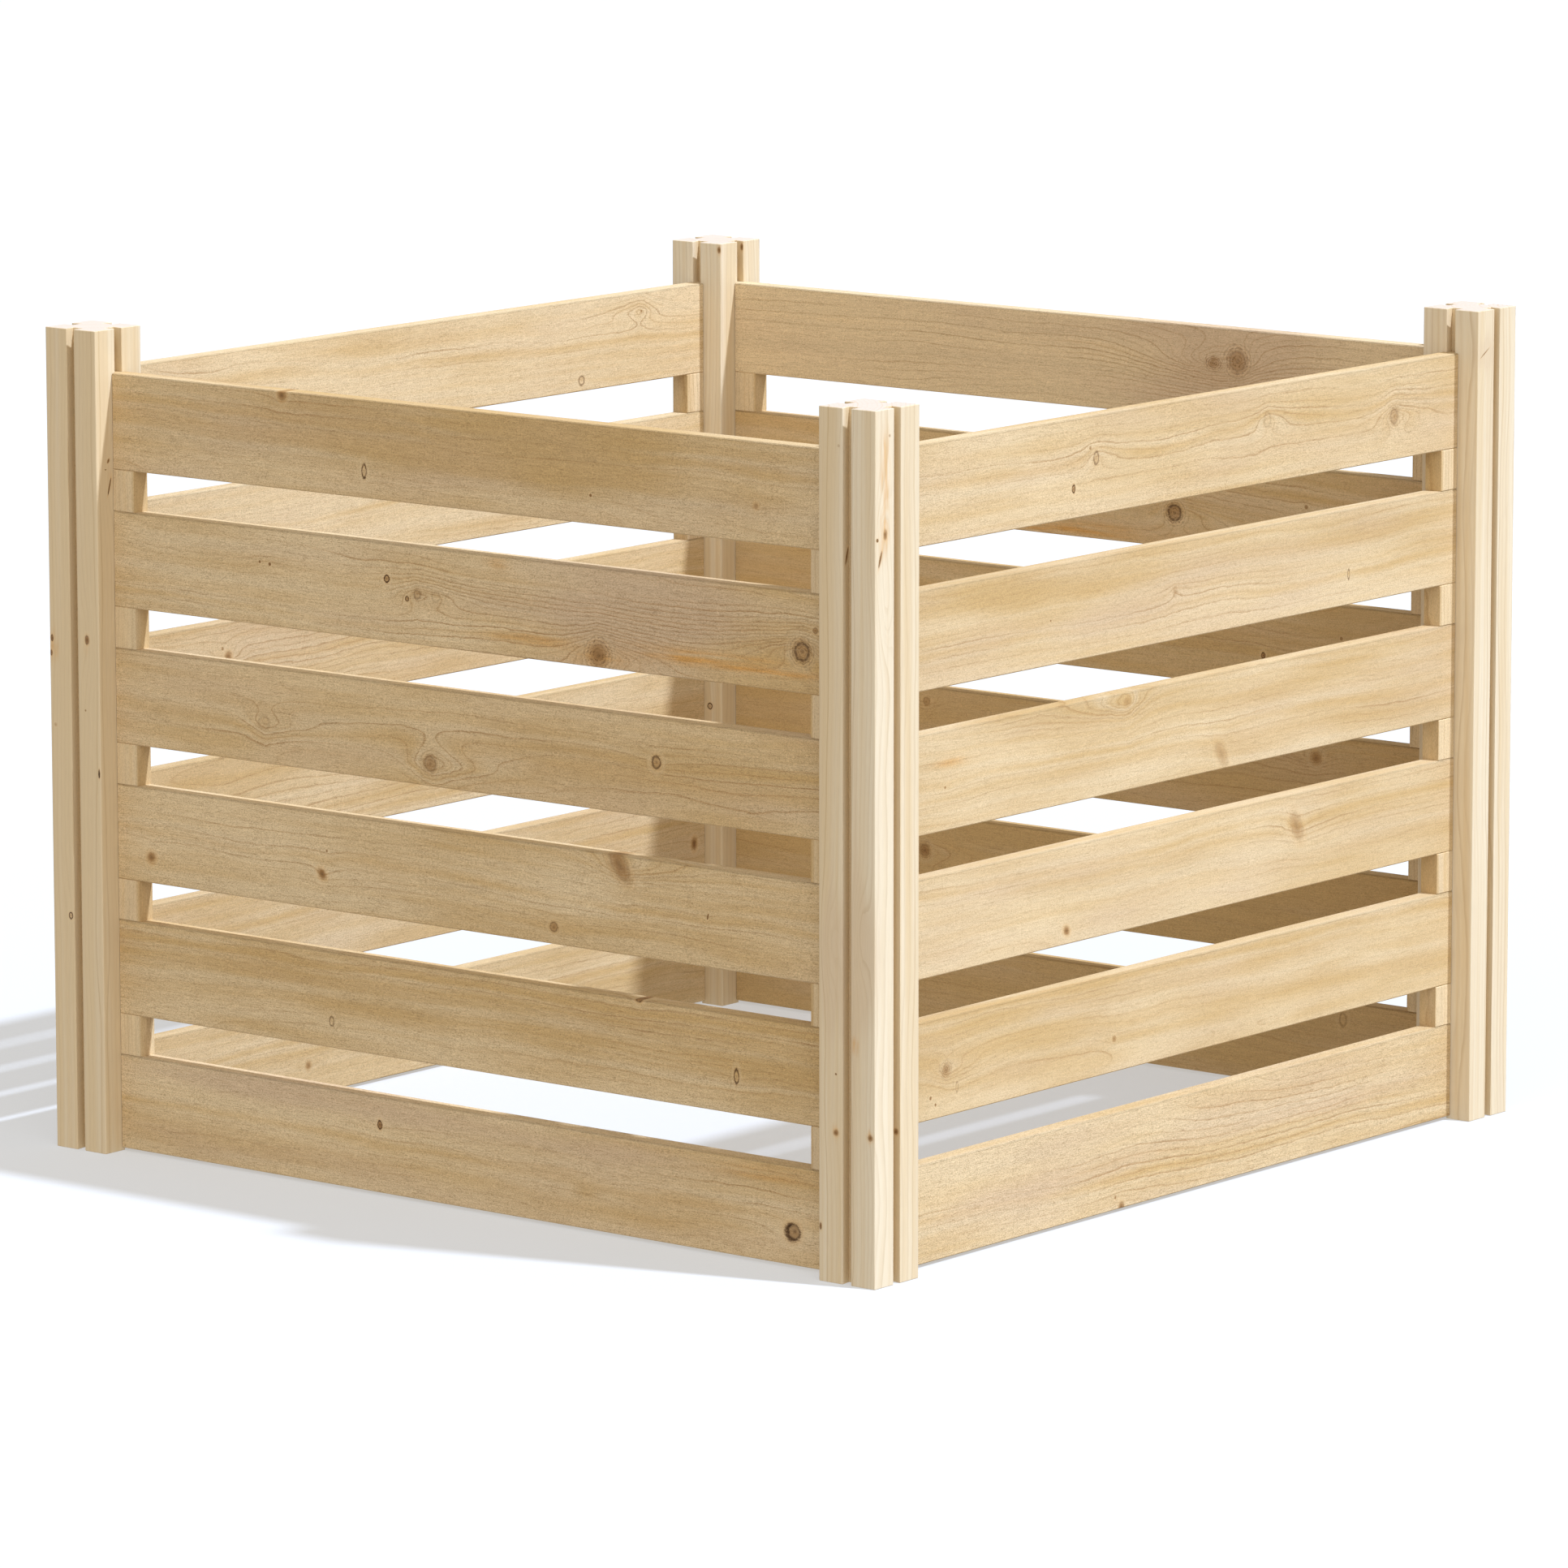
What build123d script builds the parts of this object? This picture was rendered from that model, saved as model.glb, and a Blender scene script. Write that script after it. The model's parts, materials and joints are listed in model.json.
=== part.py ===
from build123d import *
import math
import os

# Slatted compost bin of softwood that slides together without fasteners.
# Millimetres, +Z up, origin on the ground in the middle of the bin, front wall towards -Y.

# Corner posts
POST_SIDE = 62.0
POST_ARRIS = 1.0  # rounding of the four long corners
POST_RISE = 40.5  # how far a post stands above the top board

# Dovetail groove, one down the middle of each face of a post
GROOVE_MOUTH = 9.0
GROOVE_DEPTH = 11.0
GROOVE_FLARE = 8.0  # degrees that each side leans away from the middle
GROOVE_LIP = 0.8  # rounding of the two edges of the mouth

# Wall boards
COURSES = 6
BOARD_SPAN = 845.0  # from shoulder to shoulder
BOARD_HEIGHT = 89.0
BOARD_THICKNESS = 18.0
BOARD_ARRIS = 1.0  # bevel along the long edges

# Spacer blocks that keep the boards apart
SPACER_LENGTH = 25.5
SPACER_HEIGHT = 38.3
SPACER_ARRIS = 0.6  # bevel along the edges above and below

# Fits
GROUND_GAP = 3.0  # under the lowest boards
SHOULDER_GAP = 0.5  # between a shoulder and the face of its post
TONGUE_SIDE_GAP = 0.4  # between a tongue and each side of its groove
TONGUE_END_GAP = 0.6  # between the end of a tongue and the floor of its groove

# Sizes that follow from those above
PITCH = BOARD_HEIGHT + SPACER_HEIGHT
POST_HEIGHT = GROUND_GAP + COURSES * PITCH - SPACER_HEIGHT + POST_RISE
POST_CENTRE = (BOARD_SPAN + POST_SIDE) / 2 + SHOULDER_GAP
FLARE_SLOPE = math.tan(math.radians(GROOVE_FLARE))
TONGUE_INSET = TONGUE_SIDE_GAP / math.cos(math.radians(GROOVE_FLARE))

# Each wall is the front wall turned about the upright axis by so many degrees.
WALLS = {"front": 0, "right": 90, "back": 180, "left": 270}
CORNERS = {
    "front_left": (-1, -1),
    "front_right": (1, -1),
    "back_right": (1, 1),
    "back_left": (-1, 1),
}


def same(a, b):
    """Whether two lengths are equal within the model's tolerance."""
    return abs(a - b) < 1e-6


def groove_half_width(depth):
    """Half the width of a groove at a depth below the face of its post."""
    return GROOVE_MOUTH / 2 + depth * FLARE_SLOPE


def make_post():
    """A square post, upright on the origin, with a dovetail groove in each face."""
    face = POST_SIDE / 2
    mouth = groove_half_width(0)
    floor = groove_half_width(GROOVE_DEPTH)
    with BuildPart() as post:
        with BuildSketch() as section:
            RectangleRounded(POST_SIDE, POST_SIDE, POST_ARRIS)
            with PolarLocations(face, 4):
                Polygon(
                    (0, -mouth),
                    (0, mouth),
                    (-GROOVE_DEPTH, floor),
                    (-GROOVE_DEPTH, -floor),
                    align=None,
                    mode=Mode.SUBTRACT,
                )
            lips = [
                corner
                for corner in section.vertices()
                if same(max(abs(corner.X), abs(corner.Y)), face)
                and same(min(abs(corner.X), abs(corner.Y)), mouth)
            ]
            fillet(lips, GROOVE_LIP)
        extrude(amount=POST_HEIGHT)
    return post.part


def tongue_outline(shoulder, side):
    """Outline of the tongue on the shoulder at this X, pointing along X to one side."""
    tip_depth = GROOVE_DEPTH - TONGUE_END_GAP
    root = groove_half_width(-SHOULDER_GAP) - TONGUE_INSET
    tip = groove_half_width(tip_depth) - TONGUE_INSET
    end = shoulder + side * (SHOULDER_GAP + tip_depth)
    return Polygon(
        (shoulder, -root), (shoulder, root), (end, tip), (end, -tip), align=None
    )


def make_slat(length, height, arris, tongue_sides):
    """A block along X with square shoulders, tongues on the given sides and eased long edges."""
    with BuildPart() as slat:
        with BuildSketch():
            Rectangle(length, BOARD_THICKNESS)
            for side in tongue_sides:
                tongue_outline(side * length / 2, side)
        extrude(amount=height)
        long_edges = [
            edge
            for edge in slat.edges().filter_by(Axis.X)
            if same(abs(edge.center().Y), BOARD_THICKNESS / 2)
        ]
        chamfer(long_edges, arris)
    return slat.part


def in_wall(turn, piece, along, height):
    """The piece moved along the front wall, raised, and turned with that wall to its own side."""
    return Rot(0, 0, turn) * Pos(along, -POST_CENTRE, height) * piece


def write(node, solids):
    """Writes the solids of one node to its own file."""
    export_step(Compound(solids, label=node), f"parts/{node}.step")


def main():
    os.makedirs("parts", exist_ok=True)

    post = make_post()
    for corner, (x, y) in CORNERS.items():
        write(f"post_{corner}", [Pos(x * POST_CENTRE, y * POST_CENTRE, 0) * post])

    board = make_slat(BOARD_SPAN, BOARD_HEIGHT, BOARD_ARRIS, (-1, 1))
    spacers = {
        side: make_slat(SPACER_LENGTH, SPACER_HEIGHT, SPACER_ARRIS, (side,))
        for side in (-1, 1)
    }
    spacer_centre = (BOARD_SPAN - SPACER_LENGTH) / 2

    for wall, turn in WALLS.items():
        for course in range(COURSES):
            bottom = GROUND_GAP + course * PITCH
            top = bottom + BOARD_HEIGHT
            write(f"board_{wall}_{course + 1}", [in_wall(turn, board, 0, bottom)])
            if course < COURSES - 1:
                pair = [
                    in_wall(turn, spacer, side * spacer_centre, top)
                    for side, spacer in spacers.items()
                ]
                write(f"spacers_{wall}_{course + 1}", pair)


main()
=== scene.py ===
import contextlib
import json
import math
import random
from collections import namedtuple

import bmesh
import bpy
import numpy as np
from bpy.props import FloatProperty, FloatVectorProperty, IntProperty, PointerProperty
from mathutils import Matrix, Vector

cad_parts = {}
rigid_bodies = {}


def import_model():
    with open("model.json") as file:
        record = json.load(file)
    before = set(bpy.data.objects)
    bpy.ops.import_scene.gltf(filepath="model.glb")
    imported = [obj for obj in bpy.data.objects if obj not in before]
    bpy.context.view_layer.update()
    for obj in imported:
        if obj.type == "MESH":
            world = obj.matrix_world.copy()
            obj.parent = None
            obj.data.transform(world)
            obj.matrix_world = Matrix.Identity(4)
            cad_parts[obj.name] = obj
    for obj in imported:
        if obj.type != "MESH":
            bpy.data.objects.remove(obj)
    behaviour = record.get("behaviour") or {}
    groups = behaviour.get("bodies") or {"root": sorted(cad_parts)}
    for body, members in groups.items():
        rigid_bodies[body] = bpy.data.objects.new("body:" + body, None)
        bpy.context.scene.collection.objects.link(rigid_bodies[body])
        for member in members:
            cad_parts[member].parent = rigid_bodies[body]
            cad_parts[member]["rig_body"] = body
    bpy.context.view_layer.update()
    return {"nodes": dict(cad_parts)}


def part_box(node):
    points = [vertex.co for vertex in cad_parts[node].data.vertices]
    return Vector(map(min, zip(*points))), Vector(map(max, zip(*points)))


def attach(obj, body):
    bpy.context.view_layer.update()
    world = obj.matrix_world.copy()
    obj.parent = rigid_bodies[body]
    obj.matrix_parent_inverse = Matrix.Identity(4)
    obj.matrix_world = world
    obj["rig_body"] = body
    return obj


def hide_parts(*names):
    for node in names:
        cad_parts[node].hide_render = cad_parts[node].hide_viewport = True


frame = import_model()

bl_info = {
    "name": "Slatted compost bin",
    "version": (1, 0, 0),
    "blender": (4, 5, 0),
    "location": "3D View > Sidebar > Compost bin",
    "description": "Models the posts, boards and spacers of a slatted compost bin, and its stage",
    "category": "Object",
}

MM = 0.001
TOLERANCE = 1e-6
FACING = 0.9  # least share of a face's normal along an axis for it to look that way
SMOOTH_ANGLE = math.radians(30)

# Grain, in millimetres where nothing else is said
GRAIN_RUN = 9000  # timber out of which each piece takes its own stretch of grain
BOARD_SWIRL = 4.6  # how far the rings of a board swerve round a knot, in knot radii
POST_SWIRL = 2.6  # the same for a post
SAW_CLEAR_END = 28  # stretch at each end of a board without the saw's waves
SAW_CLEAR_EDGE = 2  # strip along each long edge without them
# The colour that a groove of a post reaches with depth is painted shade, a deeper ochre.
GROOVE_SHADE = 11  # depth at which a groove of a post has its full colour
FAR_AWAY = 50.0  # how far a face without a knot lies from one, in knot radii

# Each wall is the front wall turned about the upright axis by so many degrees.
WALLS = {"front": 0, "right": 90, "back": 180, "left": 270}
CORNERS = ("front_left", "front_right", "back_right", "back_left")
COURSES = sum(name.startswith("board_front_") for name in frame["nodes"])

BOARD_LOW, BOARD_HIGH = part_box("board_front_1")
POST_LOW, POST_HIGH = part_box("post_front_right")
WALL_MIDDLE = (BOARD_LOW.y + BOARD_HIGH.y) / 2
BOARD_THICKNESS = BOARD_HIGH.y - BOARD_LOW.y
BOARD_HEIGHT = BOARD_HIGH.z - BOARD_LOW.z
SPACER_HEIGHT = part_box("board_front_2")[0].z - BOARD_HIGH.z
POST_SIDE = POST_HIGH.x - POST_LOW.x
POST_HEIGHT = POST_HIGH.z - POST_LOW.z
TONGUE_END = BOARD_HIGH.x
POST_FACE = POST_LOW.x  # the face of the right-hand posts that the shoulders stand against

# A knot is given in millimetres along its wall and up from the middle of its board, as seen with
# the wall turned to the front. Its rim, fill, rings and hole are 0 if not seen and 1 if strong.
# Its hole is painted shade: a near-black spot, where the mesh has no hollow.
# Its flame is how far the grain bends round it, drawn out to the right, or to the left if negative.
Knot = namedtuple(
    "Knot",
    "along up radius rim fill rings tall lean hole flame",
    defaults=(0.6, 0.2, 0.0, 1.0, 0.0, 0.0, 0.3),
)

# A patch is a soft area with its own colour or with stronger grain, in millimetres like a knot.
Patch = namedtuple(
    "Patch", "along up long high ochre pink resin figure", defaults=(0.0, 0.0, 0.0, 0.0)
)
PATCH_TONE = Patch._fields.index("ochre")

BOARD_KNOTS = {
    "front_6": (
        Knot(-116, -20, 2.8, rim=1.0, fill=0.0, tall=2.4),
        Knot(-214, 41, 5.0, rim=0.3, fill=0.8),
        Knot(149, -19, 1.3, rim=0.8, fill=0.8),
        Knot(336, -12, 3.4, rim=0.0, fill=0.4),
        Knot(332, -20, 1.0, rim=0.4, fill=0.6),
    ),
    "front_5": (
        Knot(-243, 13.5, 1.1, rim=0.9, fill=0.9),
        Knot(-239, 12.4, 0.8, rim=0.6, fill=0.6),
        Knot(-231, 12.3, 1.4, rim=1.0, fill=1.0),
        Knot(-90, 12, 3.0, rim=1.5, fill=0.4, tall=1.15),
        Knot(-66, -4, 2.2, rim=1.2, fill=0.5),
        Knot(-54, 1, 4.2, rim=0.55, rings=0.5, flame=1.2),
        Knot(-32, 1, 5.0, rim=0.2, fill=0.0),
        Knot(157, -33, 10.0, rim=0.3, fill=0.7, rings=1.0, flame=1.0),
        Knot(387, -8, 8.3, rim=0.85, fill=0.35, rings=1.0, flame=-0.8),
        Knot(402, 12, 2.6, rim=0.6, fill=0.5),
    ),
    "front_4": (
        Knot(-240, -7, 7.0, rim=0.2, fill=0.05, flame=0.8),
        Knot(-40, -24, 7.0, rim=0.5, fill=0.45, rings=0.6, tall=1.05, flame=1.1),
        Knot(223, 5, 5.0, rim=0.85, fill=0.3, tall=1.15, flame=0.2),
    ),
    "front_3": (
        Knot(-381, -20, 5.4, rim=0.15, fill=0.75),
        Knot(-171, -12, 5.2, rim=0.2, fill=0.85, lean=-0.3),
        Knot(-165, 10, 1.0, rim=0.6, fill=0.7),
        Knot(104, -29, 4.4, rim=0.6, fill=0.5),
        Knot(180, 36, 10.0, rim=0.3, fill=0.6, rings=0.3, tall=1.5, lean=-0.5, flame=0.6),
        Knot(281, 1, 0.8, rim=1.0, fill=1.0, tall=3.0, lean=0.25),
    ),
    "front_2": (
        Knot(-161, -20, 2.8, rim=0.7, fill=0.0, tall=1.7),
        Knot(202, 46, 4.0, rim=0.8, fill=0.9),
        Knot(313, -11, 2.7, rim=1.0, fill=0.0, tall=2.5),
    ),
    "front_1": (
        Knot(-104, 18.5, 2.7, rim=1.1, fill=0.8, tall=1.5),
        Knot(376, -15, 8.6, rim=0.9, fill=0.45, tall=0.9, flame=-0.15),
    ),
    "right_6": (
        Knot(-173, -18, 2.4, rim=1.2, fill=0.6, tall=1.5),
        Knot(-149, 16, 1.4, rim=0.5, fill=0.5),
        Knot(-140, 6, 4.0, rim=0.6, fill=0.15, tall=1.5, flame=0.7),
        Knot(119, 13.5, 5.5, rim=0.18, fill=0.0, tall=1.3, flame=0.7),
        Knot(319.5, -4, 6.0, rim=0.4, fill=0.25, rings=0.5, tall=1.2, flame=1.2),
    ),
    "right_5": (
        Knot(-206, -4.6, 0.9, rim=0.6, fill=0.8),
        Knot(-21, -0.4, 3.2, rim=0.15, fill=0.2, tall=1.5, flame=0.6),
        Knot(249, -16, 1.8, rim=0.7, fill=0.0, tall=2.8),
    ),
    "right_4": (
        Knot(-358, -6, 1.2, rim=0.4, fill=0.7),
        Knot(-92, 36, 5.0, rim=0.1, fill=0.3, tall=0.8, flame=-1.6),
        Knot(52, -31, 8.0, rim=0.15, fill=0.3, tall=1.5, lean=-0.5, flame=0.15),
    ),
    "right_3": (
        Knot(-181, -32, 4.5, rim=0.2, fill=0.8, lean=-0.2),
        Knot(170, 14, 9.0, rim=0.2, fill=0.4, tall=1.5, lean=-0.4, flame=0.25),
    ),
    "right_2": (
        Knot(-378, -25, 1.4, rim=0.8, fill=0.8),
        Knot(-371, -32, 1.2, rim=0.8, fill=0.8),
        Knot(-356, -3, 5.0, rim=0.3, fill=0.5, rings=0.9, flame=0.9),
        Knot(-340, -21, 2.0, rim=0.4, fill=0.0, tall=2.4),
        Knot(-109, -14, 2.8, rim=0.3, fill=0.5),
    ),
    "right_1": (
        Knot(-106, -33, 1.5, rim=0.4, fill=0.6),
        Knot(-97, -43, 4.2, rim=0.4, fill=0.8),
    ),
    "back_6": (
        Knot(-193, 14, 10.0, rim=0.4, fill=0.45, rings=0.9, flame=1.0),
        Knot(-165, 10, 7.0, rim=0.2, fill=0.4, rings=1.0, tall=0.7, flame=0.6),
    ),
    "back_5": (
        Knot(-275, 8, 1.8, rim=0.6, fill=0.6),
        Knot(-120, -11, 8.0, rim=0.9, fill=0.45, rings=1.0, flame=-0.8),
    ),
    "back_4": (Knot(-226, -12, 2.2, rim=1.2, fill=0.8, tall=1.4), Knot(-317, 13, 1.6, fill=0.6)),
    "back_3": (
        Knot(-289, 23, 5.5, rim=0.3, fill=0.7, rings=0.6, flame=0.8),
        Knot(181, 30, 4.0, rim=0.4, fill=0.3, flame=0.8),
    ),
    "back_2": (Knot(183, 8, 6.0, rim=0.5, fill=0.7, rings=0.8, flame=-0.8),),
    "left_6": (
        Knot(-234, -34, 4.3, rim=0.7, fill=0.05, tall=1.1),
        Knot(-326, 26, 1.2, rim=0.4, fill=0.7, flame=4.0),
    ),
    "left_5": (Knot(390, -20, 2.0, rim=0.4, fill=0.3),),
    "left_4": (
        Knot(284, 12, 4.5, rim=0.3, fill=0.7, flame=0.8),
        Knot(292, 20, 1.5, rim=0.5, fill=0.6),
    ),
    "left_2": (Knot(-406, -9, 4.2, rim=0.3, fill=0.9, tall=1.5),),
}

# Hollows left by loose knots, in millimetres like the knots.
HOLLOWS = {"front_1": (Knot(376, -15, 7.2),)}

BOARD_PATCHES = {
    "front_6": (
        Patch(110, 10, 110, 60, ochre=0.35),
        Patch(-350, 5, 140, 60, ochre=-0.55),
        Patch(430, 10, 110, 60, ochre=-1.0),
        Patch(-60, -34, 440, 16, ochre=-0.85),
        Patch(270, 15, 60, 40, ochre=-0.35),
        Patch(140, -32, 90, 14, ochre=-0.35),
    ),
    "front_5": (
        Patch(200, 5, 120, 60, pink=0.8),
        Patch(300, 0, 150, 60, ochre=0.4),
        Patch(-150, 0, 230, 60, ochre=-0.42, pink=0.1),
        Patch(-60, -30, 110, 16, ochre=-0.25),
        Patch(260, -27, 55, 3.5, resin=1.3),
        Patch(350, -29, 60, 3.0, resin=1.2),
        Patch(290, -20, 70, 2.5, resin=0.8),
        Patch(80, -27, 50, 6.0, resin=0.6),
        Patch(60, -29, 45, 11, ochre=0.45),
        Patch(160, -37, 34, 7.0, resin=0.7),
        Patch(40, 37, 12, 7.0, resin=0.5),
        Patch(250, 3, 60, 16, figure=0.5),
        Patch(65, 10, 40, 7, figure=0.5),
    ),
    "front_4": (
        Patch(300, -5, 150, 50, ochre=0.35, figure=0.35),
        Patch(-150, 34, 260, 16, ochre=-0.3),
        Patch(-230, -34, 200, 16, ochre=-0.25),
        Patch(100, -20, 110, 20, ochre=0.3),
        Patch(400, -25, 60, 25, ochre=-0.35),
    ),
    "front_3": (
        Patch(130, 14, 45, 30, ochre=-0.4),
        Patch(-260, 8, 180, 50, ochre=-0.32),
        Patch(-330, 5, 130, 20, ochre=-0.25),
        Patch(120, -32, 260, 16, ochre=0.35),
    ),
    "front_2": (Patch(380, 0, 120, 60, ochre=0.25), Patch(60, -34, 420, 16, ochre=-0.4)),
    "front_1": (
        Patch(380, -10, 60, 40, ochre=-0.35),
        Patch(0, -30, 330, 16, pink=0.2, ochre=0.2),
        Patch(210, -5, 80, 40, ochre=0.3, pink=0.1),
        Patch(120, 30, 220, 12, pink=0.3),
        Patch(-250, 18, 190, 28, ochre=-0.35),
        Patch(-230, 32, 240, 14, pink=0.4, ochre=-0.15),
        Patch(-370, -32, 110, 16, ochre=0.45),
        Patch(390, 32, 130, 18, ochre=0.5),
        Patch(350, 33, 48, 6, resin=0.45, figure=0.4),
        Patch(140, -11, 14, 5, ochre=0.8, figure=0.3),
    ),
    "right_6": (
        Patch(-320, 0, 170, 60, ochre=-0.4),
        Patch(200, -30, 240, 16, ochre=-0.3),
        Patch(310, 0, 80, 20, ochre=-0.3),
    ),
    "right_5": (
        Patch(-290, 32, 200, 18, ochre=0.65),
        Patch(180, 32, 130, 14, ochre=0.35),
        Patch(350, 22, 150, 24, ochre=0.3),
        Patch(-50, -10, 330, 40, pink=0.3),
        Patch(60, -34, 420, 16, ochre=-0.3),
    ),
    "right_4": (
        Patch(-350, 15, 24, 5.0, resin=0.5),
        Patch(-180, 38, 110, 12, ochre=0.5, figure=0.4),
        Patch(-10, 34, 100, 16, ochre=0.4),
        Patch(330, 0, 160, 60, ochre=0.3, pink=0.3),
    ),
    "right_3": (Patch(330, 0, 230, 60, ochre=0.3),),
    "right_2": (Patch(-350, 0, 150, 60, ochre=0.2), Patch(-260, -34, 130, 16, ochre=-0.3)),
    "right_1": (
        Patch(-250, -10, 160, 30, pink=0.4),
        Patch(120, 0, 220, 40, figure=0.4),
        Patch(180, 30, 230, 20, pink=0.4),
        Patch(120, 0, 250, 12, pink=0.35, ochre=-0.15),
        Patch(410, 0, 60, 60, ochre=0.35),
    ),
    "back_6": (Patch(-190, 10, 110, 60, pink=0.7, figure=0.3),),
    "back_5": (Patch(20, -38, 110, 8, resin=0.9), Patch(-200, -36, 60, 7, resin=0.7, figure=0.4)),
    "left_5": (Patch(150, 0, 160, 60, ochre=-0.3),),
    "left_4": (Patch(200, 0, 200, 50, figure=0.4, pink=0.3),),
    "left_3": (Patch(250, 0, 200, 50, figure=0.4),),
}

# How strongly the saw's marks show on the boards of each wall, and on boards that differ from it.
ROUGHNESS = {"front": 1.0, "right": 0.62, "back": 0.75, "left": 0.8, "right_1": 1.0, "right_6": 0.8}

# How ochre each board is: about 0 is pale and about 1 is ochre. Besides each board's own tone this
# paints light and shade:
# the front wall, which stands in shade, is more ochre than the sunlit right wall, the top boards of the
# left wall, lit inside the bin, are paler, and the back wall grows more ochre towards the bottom under
# a pale top board.
# Boards not listed take the common tone.
COMMON_TONE = 0.52
BOARD_TONES_AND_PAINTED_LIGHT = {
    "front_6": 1.0,
    "front_5": 0.45,
    "front_3": 0.45,
    "front_2": 0.6,
    "front_1": 0.35,
    "right_5": 0.38,
    "right_4": 0.38,
    "right_3": 0.28,
    "right_2": 0.6,
    "right_1": 0.4,
    "back_6": -0.45,
    "back_5": 0.6,
    "back_4": 0.85,
    "back_3": 1.15,
    "back_2": 1.2,
    "back_1": 1.2,
    "left_6": 0.2,
    "left_5": 0.3,
}

# Knots of the posts by the way that their face looks, in millimetres along that face from the
# middle of the post and up from the ground.
POST_KNOTS = {
    "front_left": {
        (0, -1): (
            Knot(16, 482, 2.4, rim=0.7, fill=1.0, tall=1.7, flame=1.0),
            Knot(-28, 480, 1.5, rim=1.0, fill=1.0, tall=2.0),
            Knot(-29, 466, 1.3, rim=0.8, fill=1.0, tall=2.0),
            Knot(-9, 221, 2.4, rim=1.2, fill=0.2, tall=1.3, flame=0.8),
            # Painted shade: with its hole this narrow mark paints a dark slit at the corner, where the
            # mesh has no crack.
            Knot(29, 358, 1.0, rim=1.0, fill=1.0, tall=4.0, hole=0.8),
            Knot(-25, 399, 1.6, rim=0.2, fill=0.3),
            Knot(13, 416, 0.9, rim=0.6, fill=0.6),
        ),
        (1, 0): (
            Knot(-15, 648, 1.4, rim=0.6, fill=1.0, tall=1.4, lean=0.4),
            Knot(-19, 641, 1.2, rim=1.0, fill=1.0),
            Knot(-14, 624, 0.9, rim=1.0, fill=1.0, tall=8.0, lean=0.28, flame=2.0),
        ),
    },
    "front_right": {
        (0, -1): (
            Knot(-12, 134, 2.8, rim=0.35, fill=0.9),
            Knot(26, 134, 2.8, rim=0.35, fill=0.9),
            Knot(16, 312, 2.0, rim=0.0, fill=0.0, flame=2.6),
            Knot(-18, 300, 2.0, rim=0.0, fill=0.0, flame=2.2),
            Knot(2, 216, 1.0, rim=0.6, fill=0.9, tall=7.0, lean=0.06, flame=2.0),
            Knot(-12, 186, 0.9, rim=0.8, fill=0.8),
            Knot(-29, 49, 1.2, rim=0.8, fill=1.0, tall=2.5),
            Knot(-9, 736, 1.2, rim=0.25, fill=0.2),
        ),
        (1, 0): (
            Knot(-24, 665, 1.2, rim=0.8, fill=0.8, lean=0.4),
            Knot(-17, 661, 2.6, rim=0.3, fill=0.8, tall=1.7, flame=1.5),
            Knot(-28, 657, 1.4, rim=1.0, fill=1.0),
            Knot(-24, 640, 1.3, rim=0.7, fill=1.0, tall=5.0, lean=0.3, flame=2.0),
            Knot(-11, 746, 1.2, rim=0.4, fill=0.4),
            Knot(-1, 137, 2.6, rim=0.35, fill=0.9),
            Knot(-16, 600, 2.0, rim=0.0, fill=0.0, flame=2.4),
        ),
    },
    "back_right": {(1, 0): (Knot(-20, 729, 1.0, rim=0.5, fill=0.7, tall=4.0, lean=1.6, flame=2.0),)},
    "back_left": {
        (0, -1): (
            Knot(16, 304, 3.1, rim=1.2, fill=0.2, flame=0.8),
            Knot(29, 763, 2.0, rim=0.4, fill=1.0, tall=1.7),
        ),
    },
}

# Patches of the posts, placed like their knots.
POST_PATCHES = {
    "front_left": {
        (0, -1): (
            Patch(0, 400, 60, 900, ochre=0.35),
            Patch(-29, 474, 9, 16, resin=1.0),
            Patch(15, 474, 3, 14, resin=0.6),
        ),
        (1, 0): (Patch(0, 400, 60, 900, ochre=0.25), Patch(-12, 630, 5, 16, resin=0.5)),
    },
    "front_right": {
        (0, -1): (
            Patch(-22, 450, 9, 400, ochre=0.4),
            Patch(16, 290, 16, 60, pink=0.75),
            Patch(-17, 282, 14, 55, pink=0.75),
            Patch(-12, 134, 4, 7, resin=0.8),
            Patch(26, 134, 4, 7, resin=0.8),
            Patch(9, 213, 6, 8, resin=0.9),
        ),
        (1, 0): (
            Patch(22, 400, 9, 500, ochre=0.2),
            Patch(-18, 350, 12, 450, ochre=-0.35),
            Patch(-17, 718, 8, 44, resin=0.85),
            Patch(-19, 657, 9, 22, resin=0.7),
            Patch(-1, 137, 4, 8, resin=0.8),
        ),
    },
    "back_right": {(1, 0): (Patch(-20, 729, 12, 14, pink=0.6),)},
    # Painted light: the front face of the back left post is paler towards its top, where the lamps
    # leave it dim.
    "back_left": {(0, -1): (Patch(0, 700, 60, 200, ochre=-0.3), Patch(16, 300, 3, 20, resin=0.5))},
}


def length(name, millimetres, description):
    """A size that a user may change, in Blender's units."""
    return FloatProperty(
        name=name,
        description=description,
        default=millimetres * MM,
        min=0,
        precision=5,
        subtype="DISTANCE",
        unit="LENGTH",
    )


def angle(name, degrees, description):
    """An angle that a user may change."""
    return FloatProperty(
        name=name,
        description=description,
        default=math.radians(degrees),
        subtype="ANGLE",
        unit="ROTATION",
    )


def colour(name, rgb, description):
    """A colour that a user may change, in linear light."""
    return FloatVectorProperty(
        name=name, description=description, default=rgb, size=3, min=0, max=1, subtype="COLOR"
    )


def amount(name, value, description, **limits):
    """A plain number that a user may change."""
    return FloatProperty(name=name, description=description, default=value, **limits)


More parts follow.
